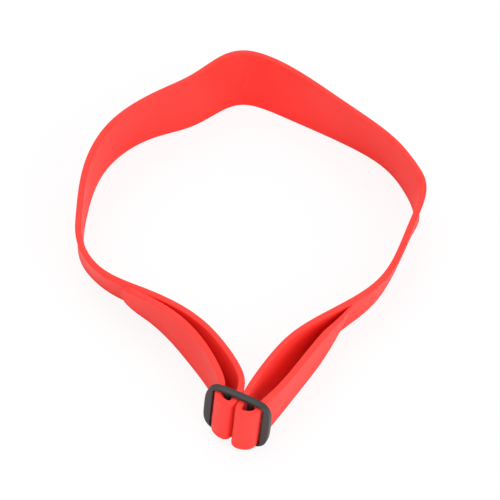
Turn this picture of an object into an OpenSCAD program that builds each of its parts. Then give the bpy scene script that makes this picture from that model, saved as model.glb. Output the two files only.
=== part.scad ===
// Adjustable silicone strap closed by a two-bar slide buckle.
// Units are millimetres, +Z is up and the strap stands on its lower edge at z = 0.
// The origin is under the middle of the loop; the buckle is at the front (-Y).

/* [Strap] */
// Thickness of the strap
strap_thickness = 2.4; // [1.8:0.1:3]
// Width of the arms, the buckle loops and the free tail
arm_width = 20.5; // [16:0.5:24]
// Width of the back band
band_width = 28.5; // [24:0.5:36]
// Width of the chamfer along every edge of the strap
edge_chamfer = 0.5; // [0.2:0.1:0.7]
// Gap between the free tail and the arm it lies on
tail_gap = 0.3; // [0.3:0.1:1]
// Length of the rounded tip of the free tail
tip_length = 7; // [3:0.5:9]

/* [Loop] */
// Width of the loop, from side to side
loop_width = 133; // [115:1:150]
// Length of the loop, from the buckle to the back
loop_length = 184; // [165:1:205]

/* [Buckle] */
// Diameter of the two upright bars
bar_diameter = 2.8; // [2.4:0.2:3.6]
// Gap between a bar and the strap bent round it
bar_clearance = 0.7; // [0.4:0.1:0.9]
// Gap between the two strap layers in the middle slot
layer_gap = 0.2; // [0.2:0.1:0.6]
// How far the left bend of the strap, which is pulled tight, stands ahead of its bar
left_bend_ahead = 0.6; // [0.4:0.1:2]
// How far the right bend, which is bonded to its own length, stands ahead of its bar
right_bend_ahead = 1.9; // [1:0.1:3]
// How far the front of each bend leans towards the other one
bend_skew = 1.2; // [0:0.2:1.4]
// Gap between the strap and the side of the frame
side_clearance = 0.6; // [0.5:0.1:1]
// Gap between the edges of the strap and the ends of the frame
edge_clearance = 0.4; // [0.3:0.1:1]
// Width of each side of the frame
side_width = 3.1; // [2:0.1:5]
// Height of the top and bottom of the frame
end_height = 1.5; // [1.2:0.1:3]
// Depth of the frame from front to back
frame_depth = 2.8; // [2.4:0.2:4]
// Corner radius of the window in the frame
window_radius = 1.2; // [0.6:0.1:2]
// Height of the frame above the surface the strap stands on
frame_lift = 0.3; // [0:0.1:2]
// Angle by which the buckle is turned away from square
buckle_turn = 25; // [15:1:35]
// Angle by which the buckle leans to its right
buckle_roll = 5; // [0:1:8]

/* [Hidden] */

strap_red = "#f8453f";
buckle_black = "#474445";

// Where the middle of the buckle stands, as shares of half the loop's width and length
buckle_share = [-0.068, -0.914];

// Exponent of the bowed outline of the frame, and the points that draw it
outline_power = 4;
outline_points = 96;

// Rings of the strap in each step of its route, in each bend and in the tip
rings_per_step = 5;
rings_per_bend = 12;
rings_per_tip = 5;
// Share of the width that is left at the very end of the tip
tip_blunt = 0.2;
// Length of the straight run of strap behind the buckle
straight_lead = 9;

// The strap in the buckle: layers 1 to 4 across, and the bars between them
bend_radius = bar_diameter / 2 + bar_clearance + strap_thickness / 2;
inner_leg = (layer_gap + strap_thickness) / 2;
bar_offset = inner_leg + bend_radius;
outer_leg = bar_offset + bend_radius;
window_x = outer_leg + strap_thickness / 2 + side_clearance;
window_z = arm_width / 2 + edge_clearance;
frame_x = window_x + side_width;
frame_z = window_z + end_height;

// Height of the middle of the buckle: its leaning outline just clears the surface
outline_dual = outline_power / (outline_power - 1);
frame_reach = pow(
    pow(frame_x * sin(buckle_roll), outline_dual) + pow(frame_z * cos(buckle_roll), outline_dual),
    1 / outline_dual
);
buckle_centre = [
    buckle_share.x * loop_width / 2,
    buckle_share.y * loop_length / 2,
    frame_lift + frame_reach
];

// Directions of the buckle: across it, out of its front, and along its bars
plan_across = [cos(buckle_turn), -sin(buckle_turn), 0];
across = cos(buckle_roll) * plan_across - [0, 0, sin(buckle_roll)];
front = [-sin(buckle_turn), -cos(buckle_turn), 0];
along_bar = sin(buckle_roll) * plan_across + [0, 0, cos(buckle_roll)];

// Half the height of a strap of this width that leans by this angle
function half_rise(wide, lean) = wide / 2 * cos(lean) + strap_thickness / 2 * abs(sin(lean));

// Lift of the strap above the surface in the slot at this offset from the middle of the buckle
function leg_lift(offset) = buckle_centre.z - offset * sin(buckle_roll) - half_rise(arm_width, buckle_roll);
left_leg = buckle_centre - inner_leg * across;
right_leg = buckle_centre + inner_leg * across;
left_lead = left_leg - straight_lead * front;
right_lead = right_leg - straight_lead * front;
// Shape of the loop between the two layers in the middle slot, from the left one round the back
// to the right one. Each row holds x as a share of half the loop's width, y as a share of half
// its length, lift as a share of the arm width, outward lean in degrees, and the width as a
// share of the way from the arm width to the band width.
LOOP_SHAPE = [
    [-0.195, -0.593, 0.025, -10, 0],
    [-0.316, -0.445, 0, 3, 0],
    [-0.564, -0.284, 0, 22, 0],
    [-0.82, -0.196, 0, 24, 0],
    [-0.955, -0.048, 0, 11, 0],
    [-0.984, 0.08, 0, -4, 0.25],
    [-0.97, 0.306, 0, -2, 0.75],
    [-0.867, 0.57, 0, -11, 1],
    [-0.604, 0.75, 0, -13, 1],
    [-0.346, 0.817, 0, -3, 1],
    [-0.165, 0.965, 0, 0, 1],
    [0, 1, 0, 0, 1],
    [0.241, 0.887, 0, 0, 1],
    [0.504, 0.735, 0, -11, 1],
    [0.767, 0.577, 0, -17, 1],
    [0.895, 0.434, 0, -10, 1],
    [0.98, 0.276, 0, -6, 1],
    [0.972, 0.182, 0, 14, 0.75],
    [0.88, 0.021, 0, 11, 0.25],
    [0.755, -0.225, 0, 18, 0],
    [0.554, -0.355, 0, 18, 0],
    [0.312, -0.502, 0, 5, 0],
    [0.199, -0.62, 0.025, -10, 0]
];
function placed(row) = [
    row[0] * loop_width / 2,
    row[1] * loop_length / 2,
    row[2] * arm_width,
    row[3],
    arm_width + row[4] * (band_width - arm_width)
];

// Route of the strap in full: x, y, lift above the surface, outward lean, width
ROUTE = concat(
    [
        [left_leg.x, left_leg.y, leg_lift(-inner_leg), -buckle_roll, arm_width],
        [left_lead.x, left_lead.y, leg_lift(-inner_leg), -buckle_roll, arm_width]
    ],
    [for (row = LOOP_SHAPE) placed(row)],
    [
        [right_lead.x, right_lead.y, leg_lift(inner_leg), buckle_roll / 2, arm_width],
        [right_leg.x, right_leg.y, leg_lift(inner_leg), buckle_roll, arm_width]
    ]
);
ROUTE_END = len(ROUTE) - 1;

// Steps of the route where one zone of the strap ends and the next begins
LEFT_FRONT = 5;
LEFT_BACK = 8;
RIGHT_BACK = 18;
RIGHT_FRONT = 21;
// The free tail's tip, the end of the bond, and where the bond has become a loose layer
TIP_STEP = 4.45;
BOND_STEP = 22.08;
LOOSE_STEP = 23;

// Share of the strap thickness that is left at the end of the bonded layer
bond_share = 0.4;
// Share of the thickness where the bonded layer starts, and how far inside the loose layer that is
shoulder_share = 0.9;
SHOULDER_STEP = 0.1;
// The bonded layer gets narrower by this share as its thickness runs out
bond_inset = 0.1;
// The loose layer in the outer slot stands this much further off than one resting on the arm
leg_spread = outer_leg - inner_leg - strap_thickness - tail_gap;

// Layers that lie outside the arms. Each row holds the spread beyond touching and the lift, both
// as shares of the arm width, and between them the outward lean in degrees. There is one row
// every half step of the route, after step 0 on the left and from step 21.5 on the right.
LAYER_STEP = 0.5;
TAIL_SHAPE = [
    [0.165, 0, 0.11],
    [0.16, 2, 0.08],
    [0.115, 2, 0.06],
    [0.09, 1, 0.05],
    [0.11, 1, 0.05],
    [0.11, 4, 0.06],
    [0.095, 11, 0.075],
    [0.075, 18, 0.11],
    [0.06, 21, 0.13],
    [0.06, 22, 0.13]
];
BOND_SHAPE = [
    [-0.244, 19, 0],
    [-0.127, 19, 0],
    [0.07, 14, 0],
    [0.17, 10, 0],
    [0.22, 9, 0.005],
    [0.24, 9, 0.025],
    [0.265, 9, 0.045],
    [0.27, 8, 0.075],
    [0.229, 5, 0.1]
];
function sized(row) = [row[0] * arm_width, row[1], row[2] * arm_width];
TAIL_LAYER = concat(
    [[leg_spread, -buckle_roll, leg_lift(-outer_leg)]],
    [for (row = TAIL_SHAPE) sized(row)]
);
LOOP_LAYER = concat(
    [for (row = BOND_SHAPE) sized(row)],
    [[leg_spread, buckle_roll, leg_lift(outer_leg)]]
);
LOOP_START = ROUTE_END - LAYER_STEP * (len(LOOP_LAYER) - 1);

// A uniform cubic B-spline through rows of numbers, held at both ends
function with_ends(rows) =
    let (last = len(rows) - 1)
    concat([2 * rows[0] - rows[1]], rows, [2 * rows[last] - rows[last - 1]]);
function blend(a, b, c, d, t) =
    (pow(1 - t, 3) * a + (3 * pow(t, 3) - 6 * pow(t, 2) + 4) * b
    + (-3 * pow(t, 3) + 3 * pow(t, 2) + 3 * t + 1) * c + pow(t, 3) * d) / 6;
function slope(a, b, c, d, t) =
    (-pow(1 - t, 2) * a + (3 * pow(t, 2) - 4 * t) * b
    + (-3 * pow(t, 2) + 2 * t + 1) * c + pow(t, 2) * d) / 2;
function span_of(rows, step) = min(max(floor(step), 0), len(rows) - 4);
function row_at(rows, step) =
    let (i = span_of(rows, step))
    blend(rows[i], rows[i + 1], rows[i + 2], rows[i + 3], step - i);
function slope_at(rows, step) =
    let (i = span_of(rows, step))
    slope(rows[i], rows[i + 1], rows[i + 2], rows[i + 3], step - i);

route_rows = with_ends(ROUTE);
tail_rows = with_ends(TAIL_LAYER);
loop_rows = with_ends(LOOP_LAYER);

// Speed along the route and the direction out of the loop, both on plan
function speed_at(step) = let (d = slope_at(route_rows, step)) norm([d.x, d.y]);
function outward_at(step) = let (d = slope_at(route_rows, step)) [-d.y, d.x, 0] / norm([d.x, d.y]);

// A ring is [middle, direction through the strap, direction across its width, width, thickness]
function ring_on_plan(x, y, lift, lean, wide, thick, outward) = [
    [x, y, lift + half_rise(wide, lean)],
    cos(lean) * outward - [0, 0, sin(lean)],
    sin(lean) * outward + [0, 0, cos(lean)],
    wide,
    thick
];
function strap_ring(step) =
    let (r = row_at(route_rows, step))
    ring_on_plan(r[0], r[1], r[2], r[3], r[4], strap_thickness, outward_at(step));
// A ring of the layer outside the strap. Its width may be cut down for the tip: the middle stays.
function layer_ring(step, layer, width_share, thickness_share) =
    let (
        r = row_at(route_rows, step),
        outward = outward_at(step),
        stand_off = (strap_thickness + tail_gap) / cos(r[3]) + layer[0],
        full = ring_on_plan(
            r[0] + stand_off * outward.x, r[1] + stand_off * outward.y,
            layer[2], layer[1], arm_width, strap_thickness * thickness_share, outward
        )
    )
    [full[0], full[1], full[2], width_share * arm_width, full[4]];
function tail_ring(step, width_share) =
    layer_ring(step, row_at(tail_rows, step / LAYER_STEP), width_share, 1);
function turned_back(ring) = [ring[0], -ring[1], ring[2], ring[3], ring[4]];
function loop_ring(step, share) =
    let (layer = row_at(loop_rows, (step - LOOP_START) / LAYER_STEP))
    turned_back(layer_ring(step, layer, 1 - bond_inset * (1 - share), share));
// A ring of the bend round a bar: side is -1 for the left bar and 1 for the right one
function bend_ring(side, angle) =
    let (
        sideways = side * (bar_offset - bend_skew * pow(sin(angle), 2)) + bend_radius * cos(angle),
        ahead = (side < 0 ? left_bend_ahead : right_bend_ahead) + bend_radius * sin(angle),
        run_sideways = -bend_radius * sin(angle) - side * bend_skew * sin(2 * angle),
        run_ahead = bend_radius * cos(angle),
        run = norm([run_sideways, run_ahead])
    )
    [
        buckle_centre + sideways * across + ahead * front,
        (run_sideways * front - run_ahead * across) / run,
        along_bar,
        arm_width,
        strap_thickness
    ];
function bend_rings(side) = [
    for (k = [0 : rings_per_bend]) bend_ring(side, 180 - 180 * k / rings_per_bend)
];
function leg_ring(offset) =
    [buckle_centre + offset * across, -sign(offset) * across, along_bar, arm_width, strap_thickness];

// Steps from one place on the route to another, evenly spaced
function steps_between(from, to) =
    let (count = ceil(abs(to - from) * rings_per_step))
    [for (k = [0 : count]) from + (to - from) * k / count];

// Corner points of a ring: a rectangle with a chamfer on each corner
function ring_points(ring) =
    let (
        x = ring[4] / 2,
        y = ring[3] / 2,
        c = min(edge_chamfer, x * 0.6, y * 0.6),
        shape = [
            [x, y - c], [x - c, y], [c - x, y], [-x, y - c],
            [-x, c - y], [c - x, -y], [x - c, -y], [x, c - y]
        ]
    )
    [for (p = shape) ring[0] + p.x * ring[1] + p.y * ring[2]];
SIDES = 8;

// Closed solid through a list of rings
module swept(rings) {
    last = len(rings) - 1;
    polyhedron(
        points = [for (r = rings) each ring_points(r)],
        faces = concat(
            [[for (j = [0 : SIDES - 1]) j]],
            [for (i = [0 : last - 1]) for (j = [0 : SIDES - 1])
                [i * SIDES + j, (i + 1) * SIDES + j, (i + 1) * SIDES + (j + 1) % SIDES]],
            [for (i = [0 : last - 1]) for (j = [0 : SIDES - 1])
                [i * SIDES + j, (i + 1) * SIDES + (j + 1) % SIDES, i * SIDES + (j + 1) % SIDES]],
            [[for (j = [0 : SIDES - 1]) last * SIDES + SIDES - 1 - j]]
        )
    );
}

// A zone of the strap between two steps of its route
module strap_zone(from, to) {
    color(strap_red) swept([for (s = steps_between(from, to)) strap_ring(s)]);
}

// Wide band at the back of the loop
module back_band() {
    strap_zone(LEFT_BACK, RIGHT_BACK);
}

// Narrow arms from the band towards the buckle
module left_arm() {
    strap_zone(LEFT_FRONT, LEFT_BACK);
}
module right_arm() {
    strap_zone(RIGHT_BACK, RIGHT_FRONT);
}

// Front of the left arm with the bend round the left bar, up to the left slot
module adjusting_run() {
    rings = concat(
        [leg_ring(-outer_leg)],
        bend_rings(-1),
        [for (s = steps_between(0, LEFT_FRONT)) strap_ring(s)]
    );
    color(strap_red) swept(rings);
}

// Free end of the strap, from the left slot back along the arm to its rounded tip
module free_tail() {
    tip_start = TIP_STEP - tip_length / speed_at(TIP_STEP);
    tip = [
        for (k = [1 : rings_per_tip])
            let (angle = 90 * k / rings_per_tip)
            tail_ring(tip_start + (TIP_STEP - tip_start) * sin(angle), max(cos(angle), tip_blunt))
    ];
    color(strap_red) swept(concat([for (s = steps_between(0, tip_start)) tail_ring(s, 1)], tip));
}

// Right end of the strap, bent round the right bar and bonded back onto its own arm
module fixed_loop() {
    loose = concat(
        [for (s = steps_between(RIGHT_FRONT, ROUTE_END)) strap_ring(s)],
        bend_rings(1),
        [for (s = steps_between(ROUTE_END, LOOSE_STEP)) loop_ring(s, 1)]
    );
    shoulder = LOOSE_STEP + SHOULDER_STEP;
    bonded = [
        for (s = steps_between(shoulder, BOND_STEP))
            let (along = (s - BOND_STEP) / (shoulder - BOND_STEP))
            loop_ring(s, bond_share + (shoulder_share - bond_share) * along)
    ];
    color(strap_red) union() {
        swept(loose);
        swept(bonded);
    }
}

// Outline of the frame: a rectangle with bowed sides and soft corners
function bowed(size, angle) =
    size * sign(round(1000 * angle)) * pow(abs(angle), 2 / outline_power);
module frame_outline() {
    polygon([
        for (k = [0 : outline_points - 1])
            let (a = 360 * k / outline_points)
            [bowed(frame_x, cos(a)), bowed(frame_z, sin(a))]
    ]);
}

// Window of the frame: a rectangle with round corners
module frame_window() {
    square([2 * window_x, 2 * (window_z - window_radius)], center = true);
    square([2 * (window_x - window_radius), 2 * window_z], center = true);
    for (sx = [-1, 1])
        for (sz = [-1, 1])
            translate([sx * (window_x - window_radius), sz * (window_z - window_radius)])
                circle(r = window_radius, $fn = 32);
}

// Moulded frame with its two upright bars, drawn flat and then stood up in its place
module slide_buckle() {
    bar_reach = window_z + end_height / 2;
    color(buckle_black)
        translate(buckle_centre)
            rotate([0, 0, -buckle_turn])
                rotate([0, buckle_roll, 0])
                    rotate([90, 0, 0]) {
                        linear_extrude(frame_depth, center = true)
                            difference() {
                                frame_outline();
                                frame_window();
                            }
                        for (side = [-1, 1])
                            translate([side * bar_offset, 0, 0])
                                rotate([90, 0, 0])
                                    cylinder(h = 2 * bar_reach, d = bar_diameter, center = true, $fn = 48);
                    }
}

back_band();
left_arm();
right_arm();
adjusting_run();
free_tail();
fixed_loop();
slide_buckle();
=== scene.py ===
"""Dresses an adjustable silicone strap and its slide buckle, and sets the studio round them.

All lengths are millimetres inside the classes and turn to metres where a mesh, lamp or camera is made.
"""

from __future__ import annotations

import logging
import math
from dataclasses import dataclass
from enum import Enum
from typing import Callable, Iterable, Sequence

import bmesh
import bpy
import numpy as np
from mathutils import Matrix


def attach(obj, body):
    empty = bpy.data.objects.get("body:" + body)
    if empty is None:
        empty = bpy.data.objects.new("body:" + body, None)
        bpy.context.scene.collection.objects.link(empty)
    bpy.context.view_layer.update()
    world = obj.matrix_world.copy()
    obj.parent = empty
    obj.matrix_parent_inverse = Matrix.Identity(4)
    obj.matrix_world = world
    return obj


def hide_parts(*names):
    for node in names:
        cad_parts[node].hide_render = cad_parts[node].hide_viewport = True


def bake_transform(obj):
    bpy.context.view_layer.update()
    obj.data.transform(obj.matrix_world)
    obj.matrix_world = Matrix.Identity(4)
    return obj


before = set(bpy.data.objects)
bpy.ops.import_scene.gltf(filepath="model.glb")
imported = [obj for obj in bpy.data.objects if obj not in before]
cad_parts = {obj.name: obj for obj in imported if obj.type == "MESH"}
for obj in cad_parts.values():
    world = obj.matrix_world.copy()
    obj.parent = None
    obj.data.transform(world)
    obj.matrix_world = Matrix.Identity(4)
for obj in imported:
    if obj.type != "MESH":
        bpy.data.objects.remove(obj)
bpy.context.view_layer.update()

LOG = logging.getLogger("strap")
MILLIMETRE = 0.001
UP = np.array([0.0, 0.0, 1.0])

# Colour sockets of a mix node, which also has sockets for numbers and vectors
MIX_FIRST, MIX_SECOND, MIX_RESULT = 6, 7, 2
WHITE = (1.0, 1.0, 1.0, 1.0)
# Largest share of a section's size that each rounded corner takes up, and the steps along it
ROUNDEST = 0.45
CORNER_STEPS = 5

Section = list[tuple[float, float]]
Faces = list[list[int]]
Skin = tuple[list[np.ndarray], Faces]


class Side(Enum):
    """The two bars of the buckle, by the sign of their place across it."""

    LEFT = -1
    RIGHT = 1


class Slot(Enum):
    """The record's material slots."""

    SILICONE = "silicone"
    PLASTIC = "buckle_plastic"


# ---------------------------------------------------------------- finishes


def linear(colour: str, alpha: float = 1.0) -> tuple[float, float, float, float]:
    """Turns a colour written as sRGB hex into the linear values that shaders use.

    Args:
        colour: Six hex digits after a hash sign.
        alpha: Opacity to put beside the colour.

    Returns:
        Linear red, green, blue and the alpha.
    """
    shares = [int(colour[place : place + 2], 16) / 255 for place in (1, 3, 5)]
    red, green, blue = (s / 12.92 if s <= 0.04045 else ((s + 0.055) / 1.055) ** 2.4 for s in shares)
    return red, green, blue, alpha


def add_node(
    tree: bpy.types.NodeTree,
    kind: str,
    settings: dict[str, object] | None = None,
    links: dict[str | int, bpy.types.NodeSocket] | None = None,
) -> bpy.types.Node:
    """Adds one shader node with its settings and incoming links.

    Args:
        tree: Node tree that the node goes into.
        kind: Blender's type name for the node.
        settings: Values by the name of an input socket or, failing that, of a property.
        links: Sockets that feed this node, by the name or number of the input.

    Returns:
        The new node.
    """
    node = tree.nodes.new(kind)
    for name, value in (settings or {}).items():
        if name in node.inputs:
            node.inputs[name].default_value = value
        else:
            setattr(node, name, value)
    for name, source in (links or {}).items():
        tree.links.new(source, node.inputs[name])
    return node


def empty_material(name: str) -> bpy.types.Material:
    """Makes a material whose node tree is bare.

    Args:
        name: Name of the material, after what the real one is.

    Returns:
        The new material.
    """
    material = bpy.data.materials.new(name)
    material.use_nodes = True
    material.node_tree.nodes.clear()
    return material


def mixed_colour(
    tree: bpy.types.NodeTree, share: bpy.types.NodeSocket, first: str, second: str
) -> bpy.types.NodeSocket:
    """Mixes two colours by a share that varies over the surface.

    Args:
        tree: Node tree that the mix goes into.
        share: Socket that gives the share of the second colour.
        first: First colour, as sRGB hex.
        second: Second colour, as sRGB hex.

    Returns:
        The socket that gives the mixed colour.
    """
    mix = add_node(tree, "ShaderNodeMix", {"data_type": "RGBA"}, {"Factor": share})
    mix.inputs[MIX_FIRST].default_value = linear(first)
    mix.inputs[MIX_SECOND].default_value = linear(second)
    return mix.outputs[MIX_RESULT]


@dataclass(frozen=True)
class MouldedSilicone:
    """Moulded silicone rubber, from a polished tool and then wiped: soft to the eye, with no sharp glint."""

    name: str = "moulded_silicone"
    # The pigment is a clear warm red, a little uneven where the rubber flowed
    pigment: str = "#FA3932"
    pale_pigment: str = "#FC423B"
    roughness: float = 0.5
    # The wiped skin mirrors less than clean silicone does
    mirror: float = 0.25
    # Light goes a short way in and comes out redder, which softens the edges
    scatter_mm: float = 0.9
    # Soft patches of the flow, and the fine grain of the tool's face
    flow_mm: float = 26.0
    # The true grain is nearer 0.05 mm, too fine to see: it is drawn coarser so that it breaks up the sheen
    grain_mm: float = 0.45
    grain_depth_mm: float = 0.012
    grain_strength: float = 0.35
    # The grain makes some spots a little duller and some a little glossier
    glossier: float = 0.04
    duller: float = 0.06

    def material(self) -> bpy.types.Material:
        """Builds the node tree.

        Returns:
            The finished material.
        """
        material = empty_material(self.name)
        tree = material.node_tree
        place = add_node(tree, "ShaderNodeTexCoord").outputs["Object"]
        flow = add_node(
            tree,
            "ShaderNodeTexNoise",
            {"Scale": 1 / (self.flow_mm * MILLIMETRE), "Detail": 2.0, "Roughness": 0.4},
            {"Vector": place},
        )
        colour = mixed_colour(tree, flow.outputs["Fac"], self.pigment, self.pale_pigment)
        grain = add_node(
            tree,
            "ShaderNodeTexNoise",
            {"Scale": 1 / (self.grain_mm * MILLIMETRE), "Detail": 3.0, "Roughness": 0.6},
            {"Vector": place},
        )
        gloss = add_node(
            tree,
            "ShaderNodeMapRange",
            {"To Min": self.roughness - self.glossier, "To Max": self.roughness + self.duller},
            {"Value": grain.outputs["Fac"]},
        )
        bump = add_node(
            tree,
            "ShaderNodeBump",
            {"Strength": self.grain_strength, "Distance": self.grain_depth_mm * MILLIMETRE},
            {"Height": grain.outputs["Fac"]},
        )
        surface = add_node(
            tree,
            "ShaderNodeBsdfPrincipled",
            {
                "IOR": 1.41,
                "Specular IOR Level": self.mirror,
                "Subsurface Weight": 0.35,
                "Subsurface Radius": (1.0, 0.25, 0.18),
                "Subsurface Scale": self.scatter_mm * MILLIMETRE,
            },
            {
                "Base Color": colour,
                "Roughness": gloss.outputs["Result"],
                "Normal": bump.outputs["Normal"],
            },
        )
        add_node(tree, "ShaderNodeOutputMaterial", links={"Surface": surface.outputs["BSDF"]})
        return material


@dataclass(frozen=True)
class MouldedNylon:
    """Moulded nylon, dyed black in the melt, from a spark-eroded tool: near black, with a fine dull grain."""

    name: str = "moulded_nylon"
    dye: str = "#2A2727"
    worn_dye: str = "#343030"
    roughness: float = 0.4
    # The fine grain scatters much of what a polished face would mirror
    mirror: float = 0.4
    # Spark erosion leaves a grain of about 0.15 mm: drawn at that size, it just shows in the gloss
    grain_mm: float = 0.3
    grain_depth_mm: float = 0.02
    grain_strength: float = 0.5

    def material(self) -> bpy.types.Material:
        """Builds the node tree.

        Returns:
            The finished material.
        """
        material = empty_material(self.name)
        tree = material.node_tree
        place = add_node(tree, "ShaderNodeTexCoord").outputs["Object"]
        grain = add_node(
            tree,
            "ShaderNodeTexNoise",
            {"Scale": 1 / (self.grain_mm * MILLIMETRE), "Detail": 4.0, "Roughness": 0.65},
            {"Vector": place},
        )
        colour = mixed_colour(tree, grain.outputs["Fac"], self.dye, self.worn_dye)
        bump = add_node(
            tree,
            "ShaderNodeBump",
            {"Strength": self.grain_strength, "Distance": self.grain_depth_mm * MILLIMETRE},
            {"Height": grain.outputs["Fac"]},
        )
        surface = add_node(
            tree,
            "ShaderNodeBsdfPrincipled",
            {"IOR": 1.53, "Specular IOR Level": self.mirror, "Roughness": self.roughness},
            {"Base Color": colour, "Normal": bump.outputs["Normal"]},
        )
        add_node(tree, "ShaderNodeOutputMaterial", links={"Surface": surface.outputs["BSDF"]})
        return material


# ---------------------------------------------------------------- shapes


@dataclass(frozen=True)
class Ring:
    """One cross-section of a strap: where it is, which way it faces and how large it is."""

    middle: np.ndarray
    through: np.ndarray
    across: np.ndarray
    width: float
    thickness: float

    def turned_back(self) -> Ring:
        """The same section for a layer that runs the other way."""
        return Ring(self.middle, -self.through, self.across, self.width, self.thickness)

    def cut_to(self, width_share: float, thickness_share: float) -> Ring:
        """The same section with its width and thickness cut down by these shares."""
        return Ring(
            self.middle, self.through, self.across, self.width * width_share, self.thickness * thickness_share
        )

    def place(self, x: float, y: float) -> np.ndarray:
        """The point this far through the strap and this far across it."""
        return self.middle + x * self.through + y * self.across


class Spline:
    """A uniform cubic B-spline through rows of numbers, held at both ends."""

    def __init__(self, rows: Sequence[Sequence[float]]) -> None:
        """Adds the phantom rows that hold the ends."""
        inner = np.array(rows, dtype=float)
        self.rows = np.vstack([2 * inner[0] - inner[1], inner, 2 * inner[-1] - inner[-2]])

    def _around(self, step: float) -> tuple[np.ndarray, float]:
        """The four rows round a step, and how far it is between the middle two."""
        first = min(max(math.floor(step), 0), len(self.rows) - 4)
        return self.rows[first : first + 4], step - first

    def at(self, step: float) -> np.ndarray:
        """The row of numbers at a step of the route."""
        (a, b, c, d), t = self._around(step)
        return (
            (1 - t) ** 3 * a
            + (3 * t**3 - 6 * t**2 + 4) * b
            + (-3 * t**3 + 3 * t**2 + 3 * t + 1) * c
            + t**3 * d
        ) / 6

    def slope(self, step: float) -> np.ndarray:
        """How fast each number changes at a step of the route."""
        (a, b, c, d), t = self._around(step)
        return (
            -((1 - t) ** 2) * a + (3 * t**2 - 4 * t) * b + (-3 * t**2 + 2 * t + 1) * c + t**2 * d
        ) / 2


def rounded_section(width: float, thickness: float, radius: float, splits: int) -> Section:
    """Draws the outline of a strap's cross-section: a rectangle with rounded corners.

    Args:
        width: Size across the strap.
        thickness: Size through the strap.
        radius: Radius of the corners, which is cut down where the section is small.
        splits: Number of extra points on each wide face.

    Returns:
        Points (through, across), anticlockwise from the top of the outer face.
    """
    half_x, half_y = thickness / 2, width / 2
    r = min(radius, ROUNDEST * thickness, ROUNDEST * width)
    points: Section = []
    for turn, (sx, sy) in enumerate(((1, 1), (-1, 1), (-1, -1), (1, -1))):
        for k in range(CORNER_STEPS + 1):
            angle = math.radians(90 * turn + 90 * k / CORNER_STEPS)
            x = sx * (half_x - r) + r * math.cos(angle)
            y = sy * (half_y - r) + r * math.sin(angle)
            points.append((x, y))
        if turn in (1, 3):
            x, start = points[-1]
            end = -start
            points += [(x, start + (end - start) * k / (splits + 1)) for k in range(1, splits + 1)]
    return points


def circle(corners: int) -> Section:
    """Points evenly round a unit circle, as cosine and sine."""
    turns = [2 * math.pi * k / corners for k in range(corners)]
    return [(math.cos(turn), math.sin(turn)) for turn in turns]


def capped_faces(levels: int, corners: int) -> Faces:
    """Faces of a stack of rings of points that is closed at both ends.

    Args:
        levels: Number of rings in the stack.
        corners: Number of points in each ring.

    Returns:
        Faces as lists of point numbers.
    """
    faces = [
        [
            row * corners + k,
            (row + 1) * corners + k,
            (row + 1) * corners + (k + 1) % corners,
            row * corners + (k + 1) % corners,
        ]
        for row in range(levels - 1)
        for k in range(corners)
    ]
    faces.append(list(range(corners)))
    faces.append([(levels - 1) * corners + k for k in reversed(range(corners))])
    return faces


def swept(rings: Sequence[Ring], radius: float, splits: int = 9) -> Skin:
    """Sweeps the rounded section through rings into one closed skin.

    Args:
        rings: Cross-sections in order along the strap.
        radius: Radius of the strap's rounded edges.
        splits: Number of extra points on each wide face.

    Returns:
        Points in millimetres, and faces as lists of point numbers.
    """
    points: list[np.ndarray] = []
    for ring in rings:
        section = rounded_section(ring.width, ring.thickness, radius, splits)
        points += [ring.place(x, y) for x, y in section]
    return points, capped_faces(len(rings), len(points) // len(rings))


def mesh_object(
    name: str, points: Iterable[np.ndarray], faces: Iterable[Sequence[int]]
) -> bpy.types.Object:
    """Makes an object in the scene from points in millimetres.

    Args:
        name: Name of the object.
        points: Points in millimetres, in the frame of the part.
        faces: Faces as point numbers, outward by the right-hand rule.

    Returns:
        The new object.
    """
    mesh = bpy.data.meshes.new(name)
    spots = [tuple(float(c) * MILLIMETRE for c in point) for point in points]
    mesh.from_pydata(spots, [], [list(face) for face in faces])
    mesh.update()
    piece = bpy.data.objects.new(name, mesh)
    bpy.context.scene.collection.objects.link(piece)
    return piece


def evaluated_mesh(piece: bpy.types.Object) -> bpy.types.Mesh:
    """The object's mesh with its modifiers applied, as new data."""
    graph = bpy.context.evaluated_depsgraph_get()
    return bpy.data.meshes.new_from_object(piece.evaluated_get(graph))


def joined(base: bpy.types.Object, others: Sequence[bpy.types.Object]) -> bpy.types.Object:
    """Melts solids into the first one, so that one closed skin is left.

    Args:
        base: Solid that is kept.
        others: Solids that are added to it and then removed.

    Returns:
        The kept object with its new mesh.
    """
    for other in others:
        union = base.modifiers.new("union", "BOOLEAN")
        union.operation = "UNION"
        union.solver = "EXACT"
        union.object = other
    mesh = evaluated_mesh(base)
    base.modifiers.clear()
    base.data = mesh
    for other in others:
        bpy.data.objects.remove(other)
    return base


def face_outward(piece: bpy.types.Object) -> None:
    """Turns a closed mesh's faces outward if its signed volume says that they point in."""
    work = bmesh.new()
    work.from_mesh(piece.data)
    if work.calc_volume(signed=True) < 0:
        bmesh.ops.reverse_faces(work, faces=work.faces)
    work.to_mesh(piece.data)
    work.free()


def smooth(piece: bpy.types.Object, sharp_degrees: float) -> None:
    """Shades an object smooth, except along edges that turn more sharply than this."""
    piece.data.shade_smooth()
    piece.data.set_sharp_from_angle(angle=math.radians(sharp_degrees))


def dress(piece: bpy.types.Object, material: bpy.types.Material) -> None:
    """Gives an object one material, in place of any it had."""
    piece.data.materials.clear()
    piece.data.materials.append(material)


def evenly(start: float, end: float, per_step: int) -> list[float]:
    """Steps from one place on the route to another, evenly spaced."""
    count = math.ceil(abs(end - start) * per_step)
    return [start + (end - start) * k / count for k in range(count + 1)]


# ---------------------------------------------------------------- buckle


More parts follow.
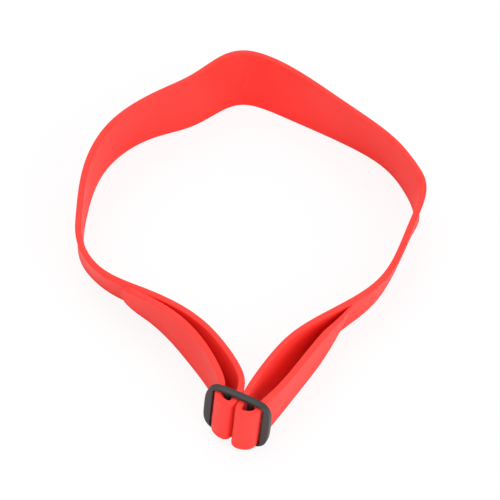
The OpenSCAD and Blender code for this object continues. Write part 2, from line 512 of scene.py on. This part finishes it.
@dataclass
class SlideBuckle:
    """Moulded frame with two upright bars, which the strap is bent round."""

    bar_diameter: float = 2.8
    bar_clearance: float = 0.7
    layer_gap: float = 0.2
    left_bend_ahead: float = 0.6
    right_bend_ahead: float = 1.9
    bend_skew: float = 1.2
    side_clearance: float = 0.6
    edge_clearance: float = 0.4
    side_width: float = 3.1
    end_height: float = 1.5
    frame_depth: float = 2.8
    window_radius: float = 1.2
    frame_lift: float = 0.3
    turn_degrees: float = 25.0
    roll_degrees: float = 5.0
    plan_share: tuple[float, float] = (-0.068, -0.914)
    loop_width: float = 133.0
    loop_length: float = 184.0
    outline_power: float = 4.0
    strap_thickness: float = 2.4
    strap_width: float = 20.5
    edge_radius: float = 0.55
    # Largest share of the frame's width that its rounded edges take up
    roundest: float = 0.42
    outline_points: int = 192
    bar_corners: int = 40
    # The bar flares a little where it runs into the frame, as a moulded root does: how far in from
    # the window's edge, and how much is added to the radius there
    root: tuple[tuple[float, float], ...] = ((0.0, 0.22), (0.5, 0.05), (1.2, 0.0))
    sunk_flare: float = 0.25

    def __post_init__(self) -> None:
        """Works out where the layers, the bars and the frame lie."""
        turn, roll = math.radians(self.turn_degrees), math.radians(self.roll_degrees)
        self.bend_radius = self.bar_diameter / 2 + self.bar_clearance + self.strap_thickness / 2
        self.inner_leg = (self.layer_gap + self.strap_thickness) / 2
        self.bar_offset = self.inner_leg + self.bend_radius
        self.outer_leg = self.bar_offset + self.bend_radius
        self.window_x = self.outer_leg + self.strap_thickness / 2 + self.side_clearance
        self.window_z = self.strap_width / 2 + self.edge_clearance
        self.frame_x = self.window_x + self.side_width
        self.frame_z = self.window_z + self.end_height
        dual = self.outline_power / (self.outline_power - 1)
        reach = (
            (self.frame_x * math.sin(roll)) ** dual + (self.frame_z * math.cos(roll)) ** dual
        ) ** (1 / dual)
        plan_across = np.array([math.cos(turn), -math.sin(turn), 0.0])
        self.across = math.cos(roll) * plan_across - math.sin(roll) * UP
        self.along_bar = math.sin(roll) * plan_across + math.cos(roll) * UP
        self.front = np.array([-math.sin(turn), -math.cos(turn), 0.0])
        plan_x = self.plan_share[0] * self.loop_width / 2
        plan_y = self.plan_share[1] * self.loop_length / 2
        self.centre = np.array([plan_x, plan_y, self.frame_lift + reach])

    def at(self, x: float, z: float, ahead: float) -> np.ndarray:
        """The point this far across the buckle, up its bars and out of its front."""
        return self.centre + x * self.across + z * self.along_bar + ahead * self.front

    def outline(self, angle: float) -> tuple[float, float]:
        """The point of the bowed outer outline at an angle in radians."""
        power = 2 / self.outline_power
        c, s = math.cos(angle), math.sin(angle)
        return (
            self.frame_x * math.copysign(abs(c) ** power, c),
            self.frame_z * math.copysign(abs(s) ** power, s),
        )

    def window(self, toward: tuple[float, float]) -> tuple[float, float]:
        """The point of the round-cornered window that lies nearest to a point outside it."""
        inner_x, inner_z = self.window_x - self.window_radius, self.window_z - self.window_radius
        core_x = min(max(toward[0], -inner_x), inner_x)
        core_z = min(max(toward[1], -inner_z), inner_z)
        away = math.hypot(toward[0] - core_x, toward[1] - core_z)
        share = self.window_radius / away
        return core_x + (toward[0] - core_x) * share, core_z + (toward[1] - core_z) * share

    def frame_skin(self) -> Skin:
        """Sweeps a section with rounded edges between the window and the outline.

        Returns:
            Points in millimetres, and faces as lists of point numbers.
        """
        points: list[np.ndarray] = []
        half = self.frame_depth / 2
        count = 0
        for k in range(self.outline_points):
            outer = self.outline(2 * math.pi * k / self.outline_points)
            inner = self.window(outer)
            length = math.hypot(outer[0] - inner[0], outer[1] - inner[1])
            radius = min(self.edge_radius, self.roundest * length)
            section = rounded_section(length, self.frame_depth, radius, 3)
            count = len(section)
            for ahead, over in section:
                share = 0.5 + over / length
                x = inner[0] + (outer[0] - inner[0]) * share
                z = inner[1] + (outer[1] - inner[1]) * share
                points.append(self.at(x, z, max(-half, min(half, ahead))))
        total = self.outline_points
        faces = [
            [
                k * count + j,
                k * count + (j + 1) % count,
                ((k + 1) % total) * count + (j + 1) % count,
                ((k + 1) % total) * count + j,
            ]
            for k in range(total)
            for j in range(count)
        ]
        return points, faces

    def bar_skin(self, side: Side) -> Skin:
        """Builds one round bar, with its ends sunk into the frame.

        Args:
            side: Which of the two bars to build.

        Returns:
            Points in millimetres, and faces as lists of point numbers.
        """
        radius = self.bar_diameter / 2
        levels = [(-self.window_z - self.end_height / 2, self.sunk_flare)]
        levels += [(inward - self.window_z, flare) for inward, flare in self.root]
        levels += [(-z, flare) for z, flare in reversed(levels)]
        points = [
            self.at(side.value * self.bar_offset + (radius + flare) * c, z, (radius + flare) * s)
            for z, flare in levels
            for c, s in circle(self.bar_corners)
        ]
        return points, capped_faces(len(levels), self.bar_corners)

    def build(self, material: bpy.types.Material) -> bpy.types.Object:
        """Makes the buckle, dresses it and hands it to its body.

        Args:
            material: Finish of the moulding.

        Returns:
            The buckle.
        """
        buckle = mesh_object("buckle_moulding", *self.frame_skin())
        bars = [mesh_object(f"bar_{side.name.lower()}", *self.bar_skin(side)) for side in Side]
        for piece in (buckle, *bars):
            face_outward(piece)
        joined(buckle, bars)
        smooth(buckle, 40)
        dress(buckle, material)
        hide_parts("slide_buckle")
        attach(buckle, "buckle")
        return buckle


# ---------------------------------------------------------------- strap


@dataclass
class StrapRoute:
    """The way the strap runs from one layer in the middle slot round the loop to the other."""

    buckle: SlideBuckle
    thickness: float = 2.4
    arm_width: float = 20.5
    band_width: float = 28.5
    tail_gap: float = 0.3
    straight_lead: float = 9.0
    layer_step: float = 0.5
    tip_step: float = 4.45
    bond_step: float = 22.08
    bond_inset: float = 0.1
    loose_step: float = 23.0
    bond_share: float = 0.4

    def __post_init__(self) -> None:
        """Lays out the rows of the route and of the two layers that lie outside the arms."""
        b = self.buckle
        roll = b.roll_degrees
        left = b.centre - b.inner_leg * b.across
        right = b.centre + b.inner_leg * b.across
        left_lead = left - self.straight_lead * b.front
        right_lead = right - self.straight_lead * b.front
        # x and y as shares of half the loop, lift as a share of the arm width, outward lean in
        # degrees, and the width as a share of the way from the arm width to the band width
        loop_shape = [
            (-0.195, -0.593, 0.025, -10, 0),
            (-0.316, -0.445, 0, 3, 0),
            (-0.564, -0.284, 0, 22, 0),
            (-0.82, -0.196, 0, 24, 0),
            (-0.955, -0.048, 0, 11, 0),
            (-0.984, 0.08, 0, -4, 0.25),
            (-0.97, 0.306, 0, -2, 0.75),
            (-0.867, 0.57, 0, -11, 1),
            (-0.604, 0.75, 0, -13, 1),
            (-0.346, 0.817, 0, -3, 1),
            (-0.165, 0.965, 0, 0, 1),
            (0, 1, 0, 0, 1),
            (0.241, 0.887, 0, 0, 1),
            (0.504, 0.735, 0, -11, 1),
            (0.767, 0.577, 0, -17, 1),
            (0.895, 0.434, 0, -10, 1),
            (0.98, 0.276, 0, -6, 1),
            (0.972, 0.182, 0, 14, 0.75),
            (0.88, 0.021, 0, 11, 0.25),
            (0.755, -0.225, 0, 18, 0),
            (0.554, -0.355, 0, 18, 0),
            (0.312, -0.502, 0, 5, 0),
            (0.199, -0.62, 0.025, -10, 0),
        ]
        rows = [
            (left[0], left[1], self.leg_lift(-b.inner_leg), -roll, self.arm_width),
            (left_lead[0], left_lead[1], self.leg_lift(-b.inner_leg), -roll, self.arm_width),
            *(self.placed(row) for row in loop_shape),
            (right_lead[0], right_lead[1], self.leg_lift(b.inner_leg), roll / 2, self.arm_width),
            (right[0], right[1], self.leg_lift(b.inner_leg), roll, self.arm_width),
        ]
        # Spread beyond touching and lift, as shares of the arm width, and between them the lean
        tail_shape = [
            (0.165, 0, 0.11),
            (0.16, 2, 0.08),
            (0.115, 2, 0.06),
            (0.09, 1, 0.05),
            (0.11, 1, 0.05),
            (0.11, 4, 0.06),
            (0.095, 11, 0.075),
            (0.075, 18, 0.11),
            (0.06, 21, 0.13),
            (0.06, 22, 0.13),
        ]
        bond_shape = [
            (-0.244, 19, 0),
            (-0.127, 19, 0),
            (0.07, 14, 0),
            (0.17, 10, 0),
            (0.22, 9, 0.005),
            (0.24, 9, 0.025),
            (0.265, 9, 0.045),
            (0.27, 8, 0.075),
            (0.229, 5, 0.1),
        ]
        leg_spread = b.outer_leg - b.inner_leg - self.thickness - self.tail_gap
        left_leg = (leg_spread, -roll, self.leg_lift(-b.outer_leg))
        right_leg = (leg_spread, roll, self.leg_lift(b.outer_leg))
        tail_rows = [left_leg, *(self.sized(row) for row in tail_shape)]
        loop_rows = [*(self.sized(row) for row in bond_shape), right_leg]
        self.end = len(rows) - 1
        self.loop_start = self.end - self.layer_step * (len(loop_rows) - 1)
        self.main = Spline(rows)
        self.tail_layer = Spline(tail_rows)
        self.loop_layer = Spline(loop_rows)

    def placed(self, row: Sequence[float]) -> tuple[float, ...]:
        """A row of the loop's shape, from shares to millimetres."""
        return (
            row[0] * self.buckle.loop_width / 2,
            row[1] * self.buckle.loop_length / 2,
            row[2] * self.arm_width,
            row[3],
            self.arm_width + row[4] * (self.band_width - self.arm_width),
        )

    def sized(self, row: Sequence[float]) -> tuple[float, ...]:
        """A row of a layer outside the arms, from shares to millimetres."""
        return row[0] * self.arm_width, row[1], row[2] * self.arm_width

    def half_rise(self, width: float, lean: float) -> float:
        """Half the height of a strap of this width that leans by this many degrees."""
        angle = math.radians(lean)
        return width / 2 * math.cos(angle) + self.thickness / 2 * abs(math.sin(angle))

    def leg_lift(self, offset: float) -> float:
        """Lift of the strap above the surface in the slot at this offset across the buckle."""
        roll = self.buckle.roll_degrees
        middle = self.buckle.centre[2] - offset * math.sin(math.radians(roll))
        return middle - self.half_rise(self.arm_width, roll)

    def speed(self, step: float) -> float:
        """Length of the route on plan in one step, here."""
        slope = self.main.slope(step)
        return math.hypot(slope[0], slope[1])

    def outward(self, step: float) -> np.ndarray:
        """Direction out of the loop, on plan."""
        slope = self.main.slope(step)
        return np.array([-slope[1], slope[0], 0.0]) / math.hypot(slope[0], slope[1])

    def ring_on_plan(
        self, spot: np.ndarray, lift: float, lean: float, width: float, outward: np.ndarray
    ) -> Ring:
        """Stands a section on its lower edge.

        Args:
            spot: Where the middle of the section is on plan.
            lift: Height of its lower edge above the surface.
            lean: Outward lean of its top edge, in degrees.
            width: Width of the strap there.
            outward: Direction out of the loop.

        Returns:
            The section.
        """
        angle = math.radians(lean)
        middle = np.array([spot[0], spot[1], lift + self.half_rise(width, lean)])
        return Ring(
            middle,
            math.cos(angle) * outward - math.sin(angle) * UP,
            math.sin(angle) * outward + math.cos(angle) * UP,
            width,
            self.thickness,
        )

    def strap(self, step: float) -> Ring:
        """The section of the loop itself at a step."""
        x, y, lift, lean, width = self.main.at(step)
        return self.ring_on_plan(np.array([x, y]), lift, lean, width, self.outward(step))

    def layer(self, step: float, row: np.ndarray) -> Ring:
        """The section of an outer layer at a step, from its row of spread, lean and lift."""
        x, y, _, main_lean, _ = self.main.at(step)
        outward = self.outward(step)
        stand_off = (self.thickness + self.tail_gap) / math.cos(math.radians(main_lean)) + row[0]
        spot = np.array([x, y]) + stand_off * outward[:2]
        return self.ring_on_plan(spot, row[2], row[1], self.arm_width, outward)

    def tail(self, step: float) -> Ring:
        """The section of the free tail at a step."""
        return self.layer(step, self.tail_layer.at(step / self.layer_step))

    def returned(self, step: float) -> Ring:
        """The section of the bonded end's outer layer at a step."""
        row = self.loop_layer.at((step - self.loop_start) / self.layer_step)
        return self.layer(step, row).turned_back()

    def bend(self, side: Side, rings: int) -> list[Ring]:
        """The bend round one bar.

        Args:
            side: Which bar it goes round.
            rings: Number of sections in the half turn.

        Returns:
            Sections from the left end of the bend to the right one.
        """
        b = self.buckle
        bend_ahead = b.left_bend_ahead if side is Side.LEFT else b.right_bend_ahead
        sections = []
        for k in range(rings + 1):
            angle = math.pi - math.pi * k / rings
            s, c = math.sin(angle), math.cos(angle)
            sideways = side.value * (b.bar_offset - b.bend_skew * s**2) + b.bend_radius * c
            run_sideways = -b.bend_radius * s - side.value * b.bend_skew * 2 * s * c
            run_ahead = b.bend_radius * c
            run = math.hypot(run_sideways, run_ahead)
            middle = b.centre + sideways * b.across + (bend_ahead + b.bend_radius * s) * b.front
            through = (run_sideways * b.front - run_ahead * b.across) / run
            sections.append(Ring(middle, through, b.along_bar, self.arm_width, self.thickness))
        return sections

    def leg(self, offset: float) -> Ring:
        """The section in the slot at this offset across the buckle."""
        b = self.buckle
        return Ring(
            b.centre + offset * b.across,
            -math.copysign(1.0, offset) * b.across,
            b.along_bar,
            self.arm_width,
            self.thickness,
        )


@dataclass
class StrapMoulding:
    """The loop with its two ends in the buckle: everything of the strap but the free tail."""

    route: StrapRoute
    edge_radius: float = 0.5
    rings_per_step: int = 14
    rings_per_bend: int = 40
    gate_step: float = 12.85
    gate_radius: float = 0.9
    gate_height: float = 0.25
    # How far the pip's root goes into the band, and how finely it is drawn
    gate_root: float = 0.4
    gate_corners: int = 20
    gate_levels: int = 4
    blend_from: tuple[float, float, float] = (0.0, 0.024, 0.014)
    blend_to: tuple[float, float, float] = (0.0, -0.014, 0.014)

    def loop_skin(self) -> Skin:
        """Sweeps the strap from the left slot round the loop to where the bonded layer begins.

        Returns:
            Points in millimetres, and faces as lists of point numbers.
        """
        r = self.route
        rings = [r.leg(-r.buckle.outer_leg)]
        rings += r.bend(Side.LEFT, self.rings_per_bend)
        rings += [r.strap(step) for step in evenly(0, r.end, self.rings_per_step)]
        rings += r.bend(Side.RIGHT, self.rings_per_bend)
        rings += [r.returned(step) for step in evenly(r.end, r.loose_step, self.rings_per_step)]
        return swept(rings, self.edge_radius)

    def bond_skin(self) -> Skin:
        """Sweeps the end of the outer layer, which thins as it sinks into the arm.

        Returns:
            Points in millimetres, and faces as lists of point numbers.
        """
        r = self.route
        length = r.loose_step - r.bond_step
        rings = []
        for step in evenly(r.loose_step, r.bond_step, self.rings_per_step):
            share = r.bond_share + (1 - r.bond_share) * (step - r.bond_step) / length
            rings.append(r.returned(step).cut_to(1 - r.bond_inset * (1 - share), share))
        return swept(rings, self.edge_radius)

    def gate_skin(self) -> Skin:
        """Builds the small pip that the tool's gate leaves on the inner face of the band.

        Returns:
            Points in millimetres, and faces as lists of point numbers.
        """
        ring = self.route.strap(self.gate_step)
        along = np.cross(ring.through, ring.across)
        inner_face = -ring.thickness / 2
        levels = [(inner_face + self.gate_root, self.gate_radius)]
        for level in range(self.gate_levels):
            angle = math.pi / 2 * level / self.gate_levels
            depth = inner_face - self.gate_height * math.sin(angle)
            levels.append((depth, self.gate_radius * math.cos(angle)))
        points = [
            ring.place(depth, radius * s) + radius * c * along
            for depth, radius in levels
            for c, s in circle(self.gate_corners)
        ]
        return points, capped_faces(len(levels), self.gate_corners)

    def build(self, material: bpy.types.Material) -> bpy.types.Object:
        """Makes the loop, dresses it and hides the imported parts that it replaces.

        Args:
            material: Finish of the moulding.

        Returns:
            The strap without its free tail.
        """
        strap = mesh_object("strap_moulding", *self.loop_skin())
        extras = [
            mesh_object("bond", *self.bond_skin()),
            mesh_object("gate_mark", *self.gate_skin()),
        ]
        for piece in (strap, *extras):
            face_outward(piece)
        joined(strap, extras)
        smooth(strap, 50)
        dress(strap, material)
        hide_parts("back_band", "left_arm", "right_arm", "adjusting_run", "fixed_loop")
        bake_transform(strap)
        return strap


@dataclass
class FreeTail:
    """The free end of the strap, from the left slot back along the arm to its rounded tip."""

    route: StrapRoute
    tip_length: float = 7.0
    edge_radius: float = 0.5
    rings_per_step: int = 14
    rings_per_tip: int = 16
    # The tip's outline is fuller than a half ellipse, and stops at this share of the width
    tip_fullness: float = 0.8
    tip_blunt: float = 0.12
    # The last sections of the tip get thinner by this share each, like the strap's edges
    thinned_sections: int = 3
    thinned_by: float = 0.15

    def skin(self) -> Skin:
        """Sweeps the tail and narrows its sections to the rounded tip.

        Returns:
            Points in millimetres, and faces as lists of point numbers.
        """
        r = self.route
        tip_start = r.tip_step - self.tip_length / r.speed(r.tip_step)
        rings = [r.tail(step) for step in evenly(0, tip_start, self.rings_per_step)]
        for k in range(1, self.rings_per_tip + 1):
            angle = math.pi / 2 * k / self.rings_per_tip
            step = tip_start + (r.tip_step - tip_start) * math.sin(angle)
            width_share = max(math.cos(angle) ** self.tip_fullness, self.tip_blunt)
            thinned = max(0, k - self.rings_per_tip + self.thinned_sections)
            rings.append(r.tail(step).cut_to(width_share, 1 - self.thinned_by * thinned))
        return swept(rings, self.edge_radius)

    def build(self, material: bpy.types.Material) -> bpy.types.Object:
        """Makes the tail, dresses it and hides the imported part that it replaces.

        Args:
            material: Finish of the moulding.

        Returns:
            The tail.
        """
        tail = mesh_object("free_tail_moulding", *self.skin())
        face_outward(tail)
        smooth(tail, 50)
        dress(tail, material)
        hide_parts("free_tail")
        start = self.route.tail(0).middle * MILLIMETRE
        end = self.route.tail(self.route.tip_step).middle * MILLIMETRE
        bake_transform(tail)
        return tail


# ---------------------------------------------------------------- studio


@dataclass(frozen=True)
class Lamp:
    """One soft square lamp, in millimetres and watts."""

    name: str
    spot: tuple[float, float, float]
    size: float
    watts: float


@dataclass
class Studio:
    """Pale floor, soft light all round and the camera."""

    floor_half: float = 3000.0
    floor_drop: float = 0.1
    floor_colour: str = "#F4F4F4"
    # Share of the floor's look that is plain white to the camera; the rest takes the shadow
    floor_white: float = 0.88
    sky_strength: float = 0.8
    elevation_degrees: float = 47.0
    distance: float = 1000.0
    target: tuple[float, float, float] = (0.0, -0.6, 10.0)
    picture_pixels: float = 500.0
    focal_pixels: float = 2630.0
    sensor: float = 36.0
    clip_end_metres: float = 20.0
    lamps: tuple[Lamp, ...] = (
        Lamp("key", (900.0, -900.0, 700.0), 900.0, 9.0),
        Lamp("top", (-200.0, 300.0, 1400.0), 1200.0, 7.0),
    )

    def add_floor(self) -> bpy.types.Object:
        """Lays the floor just under the part.

        Returns:
            The floor.
        """
        h, z = self.floor_half, -self.floor_drop
        corners = [np.array(spot) for spot in ((-h, -h, z), (h, -h, z), (h, h, z), (-h, h, z))]
        floor = mesh_object("floor", corners, [[0, 1, 2, 3]])
        material = empty_material("white_sweep")
        tree = material.node_tree
        matt = add_node(tree, "ShaderNodeBsdfDiffuse", {"Color": linear(self.floor_colour)})
        white = add_node(tree, "ShaderNodeEmission", {"Strength": 1.0})
        seen = add_node(tree, "ShaderNodeLightPath")
        share = add_node(
            tree, "ShaderNodeMath", {"operation": "MULTIPLY"}, {0: seen.outputs["Is Camera Ray"]}
        )
        share.inputs[1].default_value = self.floor_white
        mix = add_node(
            tree,
            "ShaderNodeMixShader",
            links={0: share.outputs[0], 1: matt.outputs[0], 2: white.outputs[0]},
        )
        add_node(tree, "ShaderNodeOutputMaterial", links={"Surface": mix.outputs[0]})
        floor.data.materials.append(material)
        return floor

    def add_sky(self) -> None:
        """Lights the scene evenly from all round, and shows plain white behind it."""
        world = bpy.data.worlds.new("studio")
        bpy.context.scene.world = world
        world.use_nodes = True
        tree = world.node_tree
        tree.nodes.clear()
        light = add_node(tree, "ShaderNodeBackground", {"Color": WHITE, "Strength": self.sky_strength})
        white = add_node(tree, "ShaderNodeBackground", {"Color": WHITE, "Strength": 1.0})
        seen = add_node(tree, "ShaderNodeLightPath")
        mix = add_node(
            tree,
            "ShaderNodeMixShader",
            links={0: seen.outputs["Is Camera Ray"], 1: light.outputs[0], 2: white.outputs[0]},
        )
        add_node(tree, "ShaderNodeOutputWorld", links={"Surface": mix.outputs[0]})

    def add_lamp(self, lamp: Lamp) -> bpy.types.Object:
        """Hangs one lamp that faces the part.

        Args:
            lamp: Name, place, size and power of the lamp.

        Returns:
            The lamp's object.
        """
        data = bpy.data.lights.new(lamp.name, "AREA")
        data.shape = "SQUARE"
        data.size = lamp.size * MILLIMETRE
        data.energy = lamp.watts
        piece = bpy.data.objects.new(lamp.name, data)
        bpy.context.scene.collection.objects.link(piece)
        self.aim(piece, lamp.spot, (0.0, 0.0, 0.0))
        return piece

    @staticmethod
    def aim(
        thing: bpy.types.Object,
        spot: tuple[float, float, float],
        target: tuple[float, float, float],
    ) -> None:
        """Puts a lamp or camera at a spot and turns it to a target, both in millimetres."""
        away = np.array(target) - np.array(spot)
        flat = math.hypot(away[0], away[1])
        thing.location = tuple(c * MILLIMETRE for c in spot)
        thing.rotation_euler = (math.atan2(flat, -away[2]), 0.0, math.atan2(-away[0], away[1]))

    def add_camera(self) -> bpy.types.Object:
        """Sets the camera.

        Returns:
            The camera.
        """
        data = bpy.data.cameras.new("camera")
        data.sensor_width = self.sensor
        data.lens = self.focal_pixels / self.picture_pixels * self.sensor
        data.clip_end = self.clip_end_metres
        camera = bpy.data.objects.new("camera", data)
        bpy.context.scene.collection.objects.link(camera)
        angle = math.radians(self.elevation_degrees)
        spot = (
            self.target[0],
            self.target[1] - self.distance * math.cos(angle),
            self.target[2] + self.distance * math.sin(angle),
        )
        self.aim(camera, spot, self.target)
        bpy.context.scene.camera = camera
        return camera

    def build(self) -> None:
        """Sets up the floor, the light and the camera."""
        self.add_floor()
        self.add_sky()
        for lamp in self.lamps:
            self.add_lamp(lamp)
        self.add_camera()
        bpy.context.scene.view_settings.view_transform = "Standard"


def main() -> None:
    """Builds the pieces in order, then the studio."""
    logging.basicConfig(level=logging.INFO, format="%(name)s: %(message)s")
    silicone = MouldedSilicone().material()
    nylon = MouldedNylon().material()
    buckle = SlideBuckle()
    route = StrapRoute(buckle)
    builders: list[Callable[[], bpy.types.Object]] = [
        lambda: StrapMoulding(route).build(silicone),
        lambda: FreeTail(route).build(silicone),
        lambda: buckle.build(nylon),
    ]
    for build in builders:
        piece = build()
        LOG.info("built %s with %d faces", piece.name, len(piece.data.polygons))
    Studio().build()
    LOG.info("studio ready")


if __name__ == "__main__":
    main()
